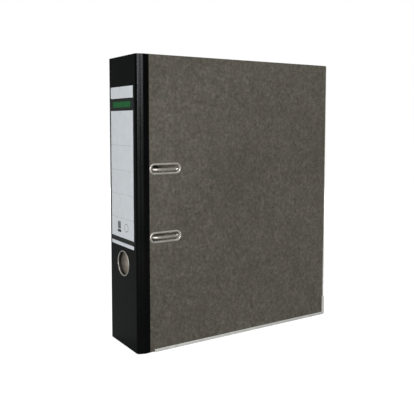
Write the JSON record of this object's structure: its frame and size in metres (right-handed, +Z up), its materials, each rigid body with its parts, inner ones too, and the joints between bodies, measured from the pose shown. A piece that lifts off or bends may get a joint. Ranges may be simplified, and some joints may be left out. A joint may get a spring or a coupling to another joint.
{
  "type": "lever arch file",
  "caption": "Folio lever arch file: marbled board covers folding at creased hinge strips, black spine with label and finger ring, slotted front, lever-worked arches, compressor bar.",
  "frame": {"origin": "middle of the underside of the object's box", "axes": "+Z up along the spine, -X the spine's side, +X the fore-edge, -Y the front cover, +Y the back cover"},
  "size_m": [0.2908, 0.0808, 0.347],
  "materials": {
    "marbled_board": "matte",
    "lining_board": "matte",
    "black_cloth": "satin",
    "label_paper": "satin",
    "nickel": "polished",
    "edge_steel": "satin",
    "plated_steel": "satin",
    "spring_steel": "satin",
    "black_plastic": "satin"
  },
  "bodies": {
    "spine": {"spine_board": "lining_board", "spine_cloth": "black_cloth", "spine_label": "label_paper", "finger_ring": "nickel", "finger_ring_washer": "nickel"},
    "front_hinge_strip": {"front_hinge_board": "lining_board", "front_hinge_cloth": "black_cloth"},
    "front_cover": {"front_cover": "marbled_board", "front_cover_cloth": "black_cloth", "front_edge_protector": "edge_steel", "slot_eyelet_upper": "nickel", "slot_eyelet_lower": "nickel"},
    "back_hinge_strip": {"back_hinge_board": "lining_board", "back_hinge_cloth": "black_cloth"},
    "back_cover": {"back_cover": "marbled_board", "back_cover_cloth": "black_cloth", "back_edge_protector": "edge_steel", "base_plate": "plated_steel", "base_rivet_1": "plated_steel", "base_rivet_2": "plated_steel", "base_rivet_3": "plated_steel", "base_rivet_4": "plated_steel", "post_upper": "nickel", "post_lower": "nickel", "arch_saddle_upper": "plated_steel", "arch_saddle_lower": "plated_steel", "arch_spring": "spring_steel", "lever_pin": "plated_steel"},
    "arch": {"arch_wire": "nickel"},
    "lever": {"lever": "nickel", "roller_pin": "plated_steel"},
    "roller": {"lever_roller": "spring_steel"},
    "compressor": {"compressor_bar": "nickel", "compressor_clamp_upper": "black_plastic", "compressor_clamp_lower": "black_plastic"}
  },
  "joints": [
    {"name": "front_spine_crease", "type": "hinge", "parent": "spine", "child": "front_hinge_strip", "pos_m": [-0.14455, -0.037, 0.1735], "axis": [0, 0, -1], "range_deg": [0, 45]},
    {"name": "front_cover_crease", "type": "hinge", "parent": "front_hinge_strip", "child": "front_cover", "pos_m": [-0.13655, -0.04, 0.1735], "axis": [0, 0, -1], "range_deg": [0, 135]},
    {"name": "back_spine_crease", "type": "hinge", "parent": "spine", "child": "back_hinge_strip", "pos_m": [-0.14455, 0.037, 0.1735], "axis": [0, 0, 1], "range_deg": [0, 45]},
    {"name": "back_cover_crease", "type": "hinge", "parent": "back_hinge_strip", "child": "back_cover", "pos_m": [-0.13655, 0.04, 0.1735], "axis": [0, 0, 1], "range_deg": [0, 135]},
    {"name": "lever_pivot", "type": "hinge", "parent": "back_cover", "child": "lever", "pos_m": [-0.10355, 0.022, 0.1925], "axis": [-1, 0, 0], "range_deg": [0, 90]},
    {"name": "arch_pivot", "type": "hinge", "parent": "back_cover", "child": "arch", "pos_m": [-0.10855, 0.0294, 0.1745], "axis": [0, 0, -1], "range_deg": [0, 14]},
    {"name": "roller_spin", "type": "hinge", "parent": "lever", "child": "roller", "pos_m": [-0.10355, 0.0236, 0.1745], "axis": [1, 0, 0], "continuous": true},
    {"name": "compressor_slide", "type": "slide", "parent": "back_cover", "child": "compressor", "axis": [0, -1, 0], "range_m": [0, 0.03]}
  ],
  "couplings": [
    {"joint": "front_spine_crease", "follows": "front_cover_crease", "ratio": 0.33333},
    {"joint": "back_spine_crease", "follows": "back_cover_crease", "ratio": 0.33333},
    {"joint": "arch_pivot", "follows": "lever_pivot", "ratio": 0.15555}
  ]
}
